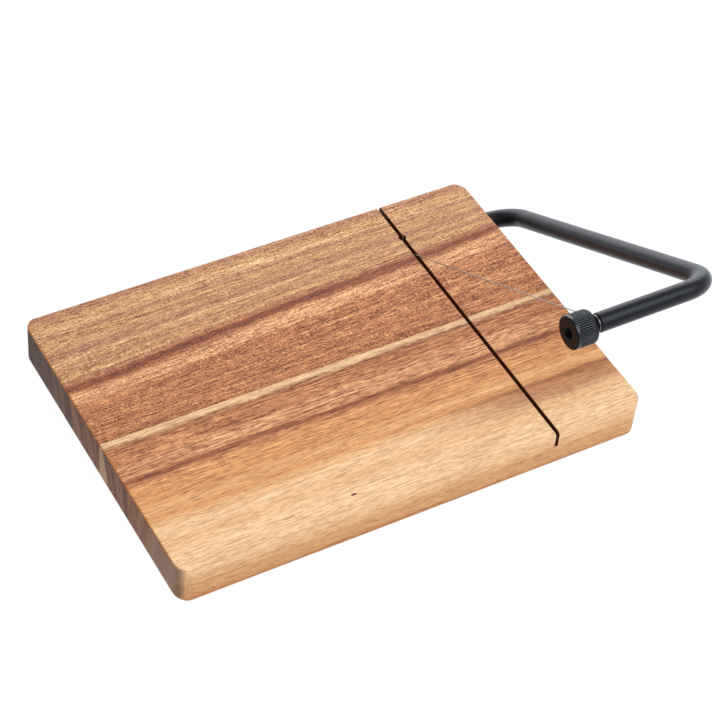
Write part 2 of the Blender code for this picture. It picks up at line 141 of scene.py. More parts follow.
# Clamp
THREAD_PITCH = 0.0008
THREAD_DEPTH = 0.00042
STUD_RADIUS = 0.0025
STUD_CHAMFER = 0.0005
RINGS_PER_TURN = 8
WASHER_BORE_ROUND = 0.0001
WASHER_RIM_ROUND = 0.00022
KNOB_RADIUS = 0.00825
KNOB_FRONT_BAND = 0.0018  # smooth band in front of the knurl
KNOB_BACK_BAND = 0.0012  # and behind it
KNOB_FRONT_ROUND = 0.0007
KNOB_BACK_ROUND = 0.0026
KNOB_MOUTH = 0.0005  # chamfer at the mouth of the bore
KNOB_THREAD_DEPTH = 0.00024
KNOB_THREAD_START = 0.0012  # behind the front face
KNOB_BORE_RINGS = 84
KNOB_RING_STEP = 0.0004
KNURL_COUNT = 48
KNURL_DEPTH = 0.0004
KNURL_RAMP = 0.0004  # over which the grooves deepen from the front
KNURL_INNER = 0.0060  # radius at which the grooves begin
KNURL_FADE = 0.0012  # over which they deepen from there and from the back


# Mesh helpers

MERGE_DISTANCE = 1e-7


def unit(value):
    """The value, kept from 0 to 1."""
    return min(1.0, max(0.0, value))


def new_object(name, data):
    """A new object in the scene."""
    thing = bpy.data.objects.new(name, data)
    bpy.context.scene.collection.objects.link(thing)
    return thing


def arc(center, radius, start, end, steps):
    """Points of a circular arc in a plane, both ends included."""
    points = []
    for index in range(steps + 1):
        angle = start + (end - start) * index / steps
        points.append(Vector((center[0] + radius * math.cos(angle),
                              center[1] + radius * math.sin(angle))))
    return points


def curve(first, corner, last, steps):
    """A rounded corner as a quadratic curve, up to 6% of its radius outside the true arc."""
    points = []
    for step in range(steps + 1):
        t = step / steps
        points.append(first * (1 - t) ** 2 + corner * 2 * t * (1 - t) + last * t ** 2)
    return points


def filleted(corners, steps=5, closed=False):
    """A plane outline through corners of (x, y, radius), each corner rounded by its radius."""
    count = len(corners)
    outline = []
    for index, (x, y, radius) in enumerate(corners):
        corner = Vector((x, y))
        at_end = not closed and index in (0, count - 1)
        if at_end or radius == 0.0:
            outline.append(corner)
            continue
        before = Vector(corners[index - 1][:2]) - corner
        after = Vector(corners[(index + 1) % count][:2]) - corner
        half_angle = before.angle(after) / 2
        setback = radius / math.tan(half_angle)
        first = corner + before.normalized() * setback
        last = corner + after.normalized() * setback
        outline += curve(first, corner, last, steps)
    return outline


def grid_mesh(name, rows, close_rows, close_columns):
    """A closed mesh of quads through rows of points, each row as long as the others."""
    row_count, column_count = len(rows), len(rows[0])
    vertices = [tuple(point) for row in rows for point in row]
    faces = []
    for row in range(row_count if close_rows else row_count - 1):
        next_row = (row + 1) % row_count
        for column in range(column_count if close_columns else column_count - 1):
            next_column = (column + 1) % column_count
            faces.append((row * column_count + column, row * column_count + next_column,
                          next_row * column_count + next_column, next_row * column_count + column))
    mesh = bpy.data.meshes.new(name)
    mesh.from_pydata(vertices, [], faces)
    return cleaned(mesh)


def closed_mesh(shape, mesh):
    """Close a shape's open ends, turn every face outwards and store it in the mesh."""
    rims = [edge for edge in shape.edges if edge.is_boundary]
    if rims:
        bmesh.ops.holes_fill(shape, edges=rims, sides=0)
    bmesh.ops.recalc_face_normals(shape, faces=shape.faces)
    shape.to_mesh(mesh)
    shape.free()
    return mesh


def cleaned(mesh):
    """The mesh with coincident points merged and its ends closed."""
    shape = bmesh.new()
    shape.from_mesh(mesh)
    bmesh.ops.remove_doubles(shape, verts=shape.verts, dist=MERGE_DISTANCE)
    bmesh.ops.dissolve_degenerate(shape, edges=shape.edges, dist=MERGE_DISTANCE)
    return closed_mesh(shape, mesh)


def turned(name, outline, steps, closed, shape_radius=None):
    """Turn an outline of (x, radius) about X.  shape_radius(x, radius, angle) can vary the radius."""
    rows = []
    for x, radius in outline:
        row = []
        for index in range(steps):
            angle = math.tau * index / steps
            r = shape_radius(x, radius, angle) if shape_radius else radius
            row.append((x, r * math.cos(angle), r * math.sin(angle)))
        rows.append(row)
    return grid_mesh(name, rows, closed, True)


def swept(name, path, radii, sides):
    """A round tube along a path, with its own radius at each point."""
    rows = []
    normal = None
    for index, point in enumerate(path):
        before = path[max(index - 1, 0)]
        after = path[min(index + 1, len(path) - 1)]
        tangent = (after - before).normalized()
        if normal is None:
            normal = tangent.orthogonal().normalized()
        normal = (normal - tangent * normal.dot(tangent)).normalized()
        side = tangent.cross(normal)
        row = []
        for step in range(sides):
            angle = math.tau * step / sides
            row.append(point + (normal * math.cos(angle) + side * math.sin(angle)) * radii[index])
        rows.append(row)
    return grid_mesh(name, rows, False, True)


def cylinder_cutter(radius, start, end, sides=64):
    """A closed cylinder from one point to another."""
    along = Vector(end) - Vector(start)
    mesh = bpy.data.meshes.new("cutter")
    shape = bmesh.new()
    turn = Vector((0.0, 0.0, 1.0)).rotation_difference(along).to_matrix().to_4x4()
    place = Matrix.Translation((Vector(start) + Vector(end)) / 2) @ turn
    bmesh.ops.create_cone(shape, cap_ends=True, segments=sides, radius1=radius, radius2=radius,
                          depth=along.length, matrix=place)
    shape.to_mesh(mesh)
    shape.free()
    return mesh


def prism_cutter(outline, y_start, y_end):
    """An outline of (x, z) points extruded along Y."""
    rows = [[(point[0], y, point[1]) for point in outline] for y in (y_start, y_end)]
    return grid_mesh("cutter", rows, False, True)


def cut(mesh, cutters):
    """The mesh with each closed cutter taken away in turn."""
    work = new_object("work", mesh)
    for cutter_mesh in cutters:
        cutter = new_object("cutter", cutter_mesh)
        modifier = work.modifiers.new("cut", 'BOOLEAN')
        modifier.operation = 'DIFFERENCE'
        modifier.solver = 'EXACT'
        modifier.object = cutter
        bpy.context.view_layer.update()
        depsgraph = bpy.context.evaluated_depsgraph_get()
        result = bpy.data.meshes.new_from_object(work.evaluated_get(depsgraph))
        work.modifiers.remove(modifier)
        work.data = result
        bpy.data.objects.remove(cutter)
    bpy.data.objects.remove(work)
    return result


def add_piece(name, mesh, material, body, nodes, sharp_degrees=35.0, place=None):
    """Show a mesh as one piece that rides on a body and stands for CAD nodes."""
    if place is not None:
        mesh.transform(place)
    mesh.materials.clear()
    mesh.materials.append(material)
    mesh.shade_smooth()
    mesh.set_sharp_from_angle(angle=math.radians(sharp_degrees))
    piece = new_object(name, mesh)
    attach(piece, body)
    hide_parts(*nodes)
    return piece


# Node helpers

def linear(red, green, blue):
    """A colour as seen on screen, 0 to 255, in the linear numbers that shaders use."""
    channels = []
    for channel in (red, green, blue):
        value = channel / 255
        channels.append(value / 12.92 if value <= 0.04045 else ((value + 0.055) / 1.055) ** 2.4)
    return (*channels, 1.0)


class Graph:
    """A new material's node tree.  Most methods add nodes and return their output."""

    def __init__(self, name):
        self.material = bpy.data.materials.new(name)
        self.material.use_nodes = True
        self.tree = self.material.node_tree
        self.shader = self.tree.nodes["Principled BSDF"]

    def feed(self, socket, value):
        """Link an output into a socket, or set the socket's own value."""
        if isinstance(value, bpy.types.NodeSocket):
            self.tree.links.new(value, socket)
        else:
            socket.default_value = value

    def node(self, kind, inputs=(), output=0, **settings):
        node = self.tree.nodes.new("ShaderNode" + kind)
        for key, value in settings.items():
            setattr(node, key, value)
        for key, value in dict(inputs).items():
            self.feed(node.inputs[key], value)
        return node.outputs[output]

    def set(self, **inputs):
        """Set or link the shader's own inputs, with _ for each space in a name."""
        for key, value in inputs.items():
            self.feed(self.shader.inputs[key.replace("_", " ")], value)

    def place_mm(self):
        """The surface's x, y and z in the board's frame at rest, in millimetres."""
        place = self.node("TexCoord", output="Object")
        return self.parts(self.node("VectorMath", {0: place, "Scale": 1000.0}, operation='SCALE'))

    def parts(self, vector):
        node = self.tree.nodes.new("ShaderNodeSeparateXYZ")
        self.tree.links.new(vector, node.inputs[0])
        return node.outputs[0], node.outputs[1], node.outputs[2]

    def join(self, x, y, z):
        return self.node("CombineXYZ", {0: x, 1: y, 2: z})

    def math(self, operation, a, b=0.0, c=0.0, clamp=False):
        return self.node("Math", {0: a, 1: b, 2: c}, operation=operation, use_clamp=clamp)

    def chain(self, operation, terms):
        total = terms[0]
        for term in terms[1:]:
            total = self.math(operation, total, term)
        return total

    def add(self, *terms):
        return self.chain('ADD', terms)

    def times(self, *factors):
        return self.chain('MULTIPLY', factors)

    def weighted(self, *pairs):
        """The sum of values, each times its own weight."""
        return self.add(*[self.times(value, weight) for value, weight in pairs])

    def smooth(self, value, low, high, to_low=0.0, to_high=1.0):
        """A smooth step between two values."""
        return self.node("MapRange", {0: value, 1: low, 2: high, 3: to_low, 4: to_high},
                         interpolation_type='SMOOTHSTEP')

    def hump(self, value, low, top_start, top_end, high):
        """0 up to low, 1 on the top and 0 again from high."""
        return self.times(self.smooth(value, low, top_start),
                          self.smooth(value, top_end, high, 1.0, 0.0))

    def noise(self, vector, detail=2.0, roughness=0.5, spread=1.0):
        """Noise about 0, from -spread to spread or so, with features of size 1 in the vector."""
        value = self.node("TexNoise", {"Vector": vector, "Scale": 1.0, "Detail": detail,
                                       "Roughness": roughness})
        return self.math('MULTIPLY_ADD', value, 2.0 * spread, -spread)

    def scaled(self, x, y, z, across, along, seed=0.0):
        """Grain coordinates: features are along long in X and across wide in Y and Z."""
        return self.join(self.math('MULTIPLY_ADD', x, 1.0 / along, seed),
                         self.math('MULTIPLY_ADD', y, 1.0 / across, seed * 1.7),
                         self.math('MULTIPLY_ADD', z, 1.0 / across, seed * 0.6))

    def ramp(self, value, stops):
        """A colour ramp through (position, colour) stops."""
        node = self.tree.nodes.new("ShaderNodeValToRGB")
        self.tree.links.new(value, node.inputs[0])
        elements = node.color_ramp.elements
        while len(elements) < len(stops):
            elements.new(1.0)
        for element, (position, color) in zip(elements, stops):
            element.position = position
            element.color = color
        return node.outputs[0]

    def mix(self, factor, a, b, blend='MIX'):
        return self.node("Mix", {0: factor, 6: a, 7: b}, output=2, data_type='RGBA', blend_type=blend)

    def stroked(self, color, shade):
        """A colour with strokes in it; the dark ones are redder, as in oiled wood."""
        gains = [self.math('EXPONENT', self.times(shade, share)) for share in STROKE_TINT]
        return self.node("VectorMath", {0: color, 1: self.join(*gains)}, operation='MULTIPLY')

    def bump(self, height, distance):
        return self.node("Bump", {"Height": height, "Distance": distance, "Strength": 1.0})


# Wood

GOLDEN = linear(201, 150, 101)
HONEY = linear(209, 162, 116)
DULL_TAN = linear(191, 142, 98)
GREY_TAN = linear(178, 124, 90)
APRICOT = linear(205, 144, 100)
PEACH = linear(211, 151, 106)
RUSSET = linear(185, 121, 79)
RED_BROWN = linear(173, 108, 69)
PLUM = linear(134, 70, 42)
DARK_STREAK = linear(146, 82, 52)
SAPWOOD = linear(224, 184, 140)
UMBER = linear(162, 105, 72)
AMBER = linear(212, 147, 93)
STRAW = linear(224, 169, 114)
CREAM = linear(236, 195, 149)
PALE_BUFF = linear(230, 183, 132)
EDGE_TAN = linear(212, 158, 106)
# warm orange for the end faces' upward arris, where it is partly painted highlight, and for the
# bottom of the front face
EDGE_ORANGE = linear(188, 118, 62)

# Growth bands of each plank: distance from the glue seam in millimetres, and colour
REAR_BANDS = (
    (0, RED_BROWN), (3, RED_BROWN), (6.5, RUSSET), (9, RED_BROWN), (11, RED_BROWN), (13.5, RUSSET),
    (16, RUSSET), (18, RED_BROWN), (20, RUSSET), (22.5, RED_BROWN), (26.2, RUSSET), (28, PEACH),
    (33.5, PEACH), (35.4, RED_BROWN), (37.2, PLUM), (39.6, PLUM), (41, RED_BROWN), (43, GREY_TAN),
    (46, GOLDEN), (51, GREY_TAN), (54, GOLDEN), (56, HONEY), (59, GREY_TAN), (61.5, GREY_TAN),
    (66, DULL_TAN), (70, GOLDEN), (73.5, GREY_TAN), (77, HONEY), (80.5, GOLDEN), (86, GREY_TAN),
    (96, RUSSET),
)
# The last bands colour the front face darker and more orange towards its bottom edge
FRONT_BANDS = (
    (0, SAPWOOD), (2.8, SAPWOOD), (5.2, UMBER), (7, RED_BROWN), (10, RUSSET), (14.5, RUSSET),
    (19, APRICOT), (25, APRICOT), (27.5, DARK_STREAK), (28.8, DARK_STREAK), (30, RUSSET),
    (33.5, AMBER), (43, AMBER), (48, STRAW), (52, AMBER), (54, STRAW), (58, PALE_BUFF), (61, CREAM),
    (69, PALE_BUFF), (74, CREAM), (86, CREAM), (89, PALE_BUFF), (92, EDGE_TAN), (95, EDGE_TAN),
    (97.5, EDGE_ORANGE),
)
BAND_SPAN = 100.0  # millimetres of band that a colour ramp covers
PLANK_SPAN = 85.0  # millimetres from the seam over which lean and end grain change
STROKE_TINT = (0.77, 1.06, 1.17)  # how much a stroke changes red, green and blue
PORE_COLOR = linear(84, 46, 28)
END_TINT = (0.30, 0.27, 0.30, 1.0)  # what oiled end grain keeps of the wood's colour
END_STAIN = linear(52, 35, 30)
CUT_WOOD = linear(104, 56, 28)
KNOT_COLOR = linear(58, 22, 12)
KNOT_PLACE_MM = (-32.0, -79.4, THICKNESS * 1000)
KNOT_SIZE_MM = (1.5, 0.6, 3.0)  # half its length and width, and its depth
STREAK_START = (5.0, 85.0)  # where along X the front plank's brown streak sets in
STREAK_LINE = (52.0, 53.6, 53.6, 56.0)  # its dark line and its brown cloud, across the bands
STREAK_CLOUD = (51.0, 56.0, 61.0, 69.0)
INSIDE_EDGE = 0.15  # millimetres in from a side face where the slot's brown walls start


def band_coordinate(graph, side, place, climb, tilt, seed):
    """How far from the seam a spot lies in the grown wood, and the shifts that lead there."""
    x, y, z = place
    across = graph.math('MULTIPLY_ADD', y, float(side), -side * SEAM_Y * 1000)
    depth = graph.math('SUBTRACT', THICKNESS * 1000, z)
    climb_mm, climb_from, climb_middle, climb_to = climb
    rise = graph.hump(across, climb_from, climb_middle, climb_middle, climb_to)
    along = graph.math('MULTIPLY_ADD', x, 1.0 / (2000 * HALF_LENGTH), 0.5)
    lift = graph.times(rise, along, climb_mm)
    lean = graph.times(depth, graph.smooth(across, 0.0, PLANK_SPAN, tilt[0], tilt[1]))
    wander = graph.noise(graph.scaled(x, y, z, 26.0, 110.0, seed), detail=1.0, spread=3.0)
    waver = graph.noise(graph.scaled(x, y, z, 3.4, 17.0, seed + 3.0), detail=3.0, spread=1.0)
    ring = graph.add(across, graph.times(lift, -1.0), lean, wander, waver)
    return ring, across, depth, lift, lean, waver


def grain_strokes(graph, place, fibre_y, stretch, seed):
    """Strokes of every length along the bands, from growth lines down to flecks, and pores."""
    x, y, z = place

    def marks(width, length, shift, detail=1.0):
        return graph.noise(graph.scaled(x, fibre_y, z, width, length, seed + shift), detail=detail)

    lines = marks(width=1.1, length=120.0, shift=5.0, detail=2.0)
    streaks = marks(width=0.75, length=26.0, shift=6.0, detail=2.0)
    dashes = marks(width=0.55, length=6.0 * stretch, shift=7.0)
    flecks = marks(width=0.5, length=1.4 * stretch, shift=9.0)
    ripple = marks(width=4.5, length=0.9, shift=11.0)
    patches = graph.noise(graph.scaled(x, y, z, 22.0, 60.0, seed + 13.0), detail=0.0, spread=2.0)
    strokes = graph.weighted((lines, 0.6), (streaks, 0.75), (dashes, 1.45), (flecks, 1.7))
    strokes = graph.add(strokes, graph.times(patches, 0.6, ripple))
    # Oil soaks into the dark strokes, so they stand out more than the pale ones
    pale_part = graph.math('MAXIMUM', strokes, 0.0)
    strokes = graph.math('MULTIPLY_ADD', pale_part, -0.45, strokes)
    pore_field = marks(width=0.42, length=4.2, shift=17.0)
    pores = graph.smooth(graph.add(pore_field, graph.times(streaks, -0.4)), 0.27, 0.5)
    return strokes, dashes, flecks, pores


def in_slot(graph, x, y, depth):
    """1 on the walls and floor of the slot, 0 on the board's outer faces."""
    from_slot = graph.math('ABSOLUTE', graph.math('SUBTRACT', x, SLOT_X * 1000))
    half_mm = SLOT_WIDTH * 500
    inside_x = graph.smooth(from_slot, half_mm + 0.02, half_mm + 0.12, 1.0, 0.0)
    inside_y = graph.math('LESS_THAN', graph.math('ABSOLUTE', y), HALF_WIDTH * 1000 - INSIDE_EDGE)
    inside_z = graph.times(graph.smooth(depth, 0.1, 0.5),
                           graph.math('LESS_THAN', depth, (THICKNESS - BOTTOM_ROUND) * 1000))
    return graph.times(inside_y, inside_z, inside_x)


def wood(name, side, bands, climb, tilt, contrast, stretch, sap_edge, end_dark, seed):
    """Oiled acacia as one solid: the same grain runs over the faces, through the edges and slot.

    side is +1 for the plank behind the seam and -1 for the one in front.  climb is how far
    the bands of a zone rise over the board's length, and that zone's start, middle and end.
    tilt is how far the bands lean with depth, at the seam and at the outer edge.  contrast
    is the strength of the strokes near the seam and far from it, and where it changes.
    stretch lengthens the short strokes.  sap_edge is how far from the seam the smooth pale
    sapwood reaches, and end_dark is how far the end grain darkens towards the outer edge.
    """
    graph = Graph(name)
    place = graph.place_mm()
    x, y, z = place
    ring, across, depth, lift, lean, waver = band_coordinate(graph, side, place, climb, tilt, seed)
    color = graph.ramp(graph.times(ring, 1.0 / BAND_SPAN),
                       [(position / BAND_SPAN, shade) for position, shade in bands])
    if side < 0:
        color = front_plank_marks(graph, color, place, ring)

    fibre_y = graph.add(y, graph.times(lift, -side), waver)
    strokes, dashes, flecks, pores = grain_strokes(graph, place, fibre_y, stretch, seed)
    near_contrast, far_contrast, change_from, change_to = contrast
    strength = graph.smooth(ring, change_from, change_to, near_contrast, far_contrast)
    sapwood = graph.smooth(ring, sap_edge - 0.8, sap_edge + 0.8, 1.0, 0.0)
    strength = graph.times(strength, graph.math('MULTIPLY_ADD', sapwood, -0.6, 1.0))
    color = graph.stroked(color, graph.times(strokes, strength))
    color = graph.mix(graph.times(pores, strength, 0.55), color, PORE_COLOR)

    # Cut across the grain, the wood drinks oil and turns dark and grey; the upward-facing arris gets
    # a warm line that is partly worn edge and partly painted highlight
    normal_x, _, normal_z = graph.parts(graph.node("TexCoord", output="Normal"))
    facing_end = graph.math('ABSOLUTE', normal_x)
    end_grain = graph.smooth(facing_end, 0.5, 0.92)
    end_color = graph.mix(1.0, graph.mix(1.0, color, END_TINT, 'MULTIPLY'), END_STAIN, 'ADD')
    leaning_y = graph.math('MULTIPLY_ADD', lean, float(side), y)
    ring_place = graph.scaled(x, leaning_y, graph.times(z, 0.1), 2.6, 300.0, seed + 19.0)
    rings = graph.noise(ring_place, detail=3.0)
    end_color = graph.stroked(end_color, graph.times(rings, strength, 1.1))
    end_color = graph.mix(graph.smooth(across, 5.0, PLANK_SPAN, 0.0, end_dark), end_color, END_STAIN)
    soaked = graph.times(end_grain, graph.math('MULTIPLY_ADD', sapwood, -0.35, 1.0))
    color = graph.mix(soaked, color, end_color)
    # Painted highlight on a worn edge: warm orange only where the end faces' arris faces up, where
    # light from above catches it
    arris = graph.math('MULTIPLY', facing_end, normal_z, clamp=True)
    color = graph.mix(graph.times(graph.smooth(arris, 0.1, 0.4), 0.55), color, EDGE_ORANGE)
    color = graph.mix(in_slot(graph, x, y, depth), color, CUT_WOOD)

    graph.set(Base_Color=color)
    rough = graph.weighted((dashes, 0.12), (pores, 0.15), (end_grain, 0.12))
    graph.set(Roughness=graph.math('ADD', rough, 0.5, clamp=True), Specular_IOR_Level=0.25)
    relief = graph.weighted((pores, -0.8), (dashes, 0.6), (flecks, 0.3))
    graph.set(Normal=graph.bump(relief, 0.00008))
    return graph.material


def front_plank_marks(graph, color, place, ring):
    """The brown heart streak that comes in from the handle end, and one small knot."""
    reach = graph.smooth(place[0], *STREAK_START)
    line = graph.hump(ring, *STREAK_LINE)
    cloud = graph.hump(ring, *STREAK_CLOUD)
    color = graph.mix(graph.times(cloud, reach, 0.75), color, RED_BROWN)
    color = graph.mix(graph.times(line, reach, 0.7), color, PLUM)

    offset = []
    for value, middle, half_size in zip(place, KNOT_PLACE_MM, KNOT_SIZE_MM):
        offset.append(graph.math('MULTIPLY_ADD', value, 1 / half_size, -middle / half_size))
    away = graph.node("VectorMath", {0: graph.join(*offset)}, operation='LENGTH', output=1)
    return graph.mix(graph.smooth(away, 0.75, 1.25, 0.95, 0.0), color, KNOT_COLOR)


# Metal, nylon and rubber

COOL_TINT = (0.78, 0.86, 1.0, 1.0)
COAT_BLACK = linear(12, 12, 14)
COAT_PALE = linear(19, 19, 22)
COAT_RUBBED = linear(52, 52, 55)
# painted shade for the knurl's grooves and the knob's flat faces
PAINTED_GROOVE_SHADE = linear(5, 5, 6)


def knurl_ridge(graph, y, z):
    """1 on the crests of the knob's knurl, 0 in the grooves and nearer the axis."""
    aside = graph.math('SUBTRACT', y, KNOB_AXIS.y * 1000)
    above = graph.math('SUBTRACT', z, KNOB_AXIS.z * 1000)
    squares = graph.add(graph.math('POWER', aside, 2.0), graph.math('POWER', above, 2.0))
    from_axis = graph.math('POWER', squares, 0.5)
    return graph.smooth(from_axis, (KNOB_RADIUS - 0.6 * KNURL_DEPTH) * 1000, KNOB_RADIUS * 1000)


def black_coat(name, specular, sheen, roughness, knurled=False):
    """Semi-gloss black coat on steel, slightly rippled and rubbed in small spots.

    On the knurled knob, painted shade makes it blacker and less glossy in the grooves and on the flat
    faces.
    """
    graph = Graph(name)
    x, y, z = graph.place_mm()
    flow = graph.noise(graph.scaled(x, y, z, 4.0, 4.0), detail=3.0)
    grit = graph.noise(graph.scaled(x, y, z, 0.35, 0.35, 2.0), detail=2.0)
    scuffs = graph.noise(graph.scaled(x, y, z, 1.2, 7.0, 5.0), detail=4.0, roughness=0.7)
    worn = graph.smooth(scuffs, 0.42, 0.62)
    shade = graph.math('MULTIPLY_ADD', flow, 0.5, 0.5, clamp=True)
    color = graph.mix(shade, COAT_BLACK, COAT_PALE)
    color = graph.mix(graph.times(worn, 0.3), color, COAT_RUBBED)
    gloss = specular
    if knurled:
        # Painted shade: everything nearer the axis than the knurl's crests, grooves and flat faces
        # alike, is made blacker and less glossy
        ridge = knurl_ridge(graph, y, z)
        gloss = graph.math('MULTIPLY_ADD', ridge, specular * 0.85, specular * 0.15)
        color = graph.mix(graph.math('MULTIPLY_ADD', ridge, -0.8, 0.8), color, PAINTED_GROOVE_SHADE)
    graph.set(Base_Color=color, Metallic=0.0, Specular_IOR_Level=gloss,
              Specular_Tint=COOL_TINT, Sheen_Weight=sheen, Sheen_Roughness=0.35, Sheen_Tint=COOL_TINT)
    rough = graph.weighted((flow, 0.05), (worn, 0.12), (grit, 0.04))
    graph.set(Roughness=graph.math('ADD', rough, roughness, clamp=True))
    relief = graph.weighted((grit, 0.4), (flow, 1.0))
    graph.set(Normal=graph.bump(relief, 0.00002))
    return graph.material


def bright_metal(name, color, dull_color, roughness, grain_mm):
    """Bare metal with fine drawn or turned marks and faint tarnish."""
    graph = Graph(name)
    x, y, z = graph.place_mm()
    marks = graph.noise(graph.scaled(x, y, z, grain_mm, grain_mm * 0.25), detail=3.0)
    tarnish = graph.noise(graph.scaled(x, y, z, 1.6, 1.6, 4.0), detail=3.0)
    shade = graph.math('MULTIPLY_ADD', tarnish, 0.6, 0.5, clamp=True)
    graph.set(Base_Color=graph.mix(shade, color, dull_color), Metallic=1.0)
    rough = graph.weighted((marks, 0.06), (tarnish, 0.06))
    graph.set(Roughness=graph.math('ADD', rough, roughness, clamp=True))
    graph.set(Normal=graph.bump(marks, 0.000008))
    return graph.material


def matt_polymer(name, color, worn_color, roughness, grain_mm):
    """Moulded nylon or rubber with a fine mould texture and dusty spots."""
    graph = Graph(name)
    x, y, z = graph.place_mm()
    grain = graph.noise(graph.scaled(x, y, z, grain_mm, grain_mm), detail=3.0)
    dust = graph.noise(graph.scaled(x, y, z, 2.5, 2.5, 3.0), detail=4.0, roughness=0.65)
    graph.set(Base_Color=graph.mix(graph.smooth(dust, -0.2, 0.7), color, worn_color))
    graph.set(Roughness=graph.math('MULTIPLY_ADD', dust, 0.08, roughness, clamp=True))
    graph.set(Normal=graph.bump(grain, 0.00003))
    return graph.material


# Board

def top_height(y):
    """Height of the board's top face at a distance y from its middle line."""
    past = max(0.0, abs(y) - (HALF_WIDTH - TOP_ROUND))
    return THICKNESS - TOP_ROUND + math.sqrt(max(0.0, TOP_ROUND ** 2 - past ** 2))


def bottom_height(y):
    """The same for its underside."""
    past = max(0.0, abs(y) - (HALF_WIDTH - BOTTOM_ROUND))
    return BOTTOM_ROUND - math.sqrt(max(0.0, BOTTOM_ROUND ** 2 - past ** 2))


def eased_corner(height, reach, y_at, arris, toward_middle):
    """Points that round the edge where a face of that height meets the upright wall."""
    step = reach * 1e-4
    edge_z = height(y_at(reach))
    slope = (edge_z - height(y_at(reach - step))) / step
    turn = math.pi / 2 - abs(math.atan(slope))
    setback = arris * math.tan(turn / 2)
    start_q = reach - setback
    start = Vector((start_q, height(y_at(start_q))))
    corner = Vector((reach, edge_z))
    end = Vector((reach, edge_z + toward_middle * setback))
    return curve(start, corner, end, ARRIS_STEPS)


def board_section(angle):
    """The board's edge in the upright plane through a corner's axis, at an angle to X.

    Points are (distance from the corner's axis, height), from the underside up to the top.
    The rounding runs along the long edges only, so it fades out round the corner and
    leaves only the arris across the grain.
    """
    def y_at(q):
        return HALF_WIDTH - CORNER_RADIUS + q * abs(math.sin(angle))

    def face(height, round_radius, arris, toward_middle):
        corner = eased_corner(height, CORNER_RADIUS, y_at, arris, toward_middle)
        flat_end = CORNER_RADIUS - round_radius
        points = [Vector((0.0, height(0.0))), Vector((flat_end * 0.5, height(0.0)))]
        for index in range(ROUND_STEPS):
            share = math.sin(math.pi / 2 * index / ROUND_STEPS)
            q = flat_end + (corner[0].x - flat_end) * share
            points.append(Vector((q, height(y_at(q)))))
        return points + corner

    underside = face(bottom_height, BOTTOM_ROUND, BOTTOM_ARRIS, 1.0)
    top = face(top_height, TOP_ROUND, TOP_ARRIS, -1.0)
    return underside + list(reversed(top))


def board_mesh():
    """The whole board before it is cut: its edge section carried round the four corners."""
    rows = []
    for quarter, (sign_x, sign_y) in enumerate(((1, 1), (-1, 1), (-1, -1), (1, -1))):
        axis = Vector((sign_x * (HALF_LENGTH - CORNER_RADIUS), sign_y * (HALF_WIDTH - CORNER_RADIUS)))
        for step in range(CORNER_STEPS + 1):
            angle = math.pi / 2 * (quarter + step / CORNER_STEPS)
            outward = Vector((math.cos(angle), math.sin(angle)))
            row = []
            for q, z in board_section(angle):
                place = axis + outward * q
                row.append((place.x, place.y, z))
            rows.append(row)
    return grid_mesh("board", rows, True, False)


def plank_mesh(board, side):
    """The part of the board on one side of the glue seam."""
    mesh = board.copy()
    shape = bmesh.new()
    shape.from_mesh(mesh)
    everything = shape.verts[:] + shape.edges[:] + shape.faces[:]
    bmesh.ops.bisect_plane(shape, geom=everything, plane_co=(0.0, SEAM_Y, 0.0),
                           plane_no=(0.0, -side, 0.0), clear_outer=True)
    return closed_mesh(shape, mesh)


def slot_cutter():
    """The wire's slot, with a chamfered mouth and a floor that falls towards the rear."""
    half = SLOT_WIDTH / 2
    above = THICKNESS + CUT_MARGIN
    mouth = half + SLOT_MOUTH
    reach = HALF_WIDTH + CUT_MARGIN
    overrun = (SLOT_FLOOR_FRONT - SLOT_FLOOR_REAR) * CUT_MARGIN / (2 * HALF_WIDTH)
    rows = []
    for y, floor in ((-reach, SLOT_FLOOR_FRONT + overrun), (reach, SLOT_FLOOR_REAR - overrun)):
        outline = [(-half, floor), (half, floor), (half, THICKNESS - SLOT_MOUTH),
                   (mouth, THICKNESS), (mouth, above), (-mouth, above), (-mouth, THICKNESS),
                   (-half, THICKNESS - SLOT_MOUTH)]
        rows.append([(SLOT_X + x, y, z) for x, z in outline])
    return grid_mesh("cutter", rows, False, True)


def foot_cutters(side):
    """Recesses for the feet of one plank."""
    cutters = []
    for node in FEET:
        middle = box_middle(node)
        low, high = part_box(node)
        radius = (high.x - low.x) / 2 + SEAT_CLEARANCE
        if middle.y * side > 0:
            cutters.append(cylinder_cutter(radius, (middle.x, middle.y, -CUT_MARGIN),
                                           (middle.x, middle.y, FOOT_RECESS_DEPTH)))
    return cutters


def bore_cutters():
    """The rod's bore, the bushing's seat and the round hole that lets the ball in."""
    rod_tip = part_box("handle_rod")[0].x
    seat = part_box("pivot_bushing")[0].x
    outside = HALF_LENGTH + CUT_MARGIN
    bore = cylinder_cutter(ROD_RADIUS + ROD_CLEARANCE, (rod_tip - ROD_CLEARANCE, PIVOT.y, PIVOT.z),
                           (outside, PIVOT.y, PIVOT.z))
    bushing = cylinder_cutter(box_radius("pivot_bushing") + SEAT_CLEARANCE / 3,
                              (seat - SEAT_CLEARANCE, PIVOT.y, PIVOT.z), (outside, PIVOT.y, PIVOT.z))
    hole_y = PIVOT.y - ACCESS_HOLE_AHEAD
    access = cylinder_cutter(ACCESS_HOLE_RADIUS, (SLOT_X, hole_y, PIVOT.z),
                             (SLOT_X, hole_y, THICKNESS + CUT_MARGIN))
    return [bore, bushing, access]


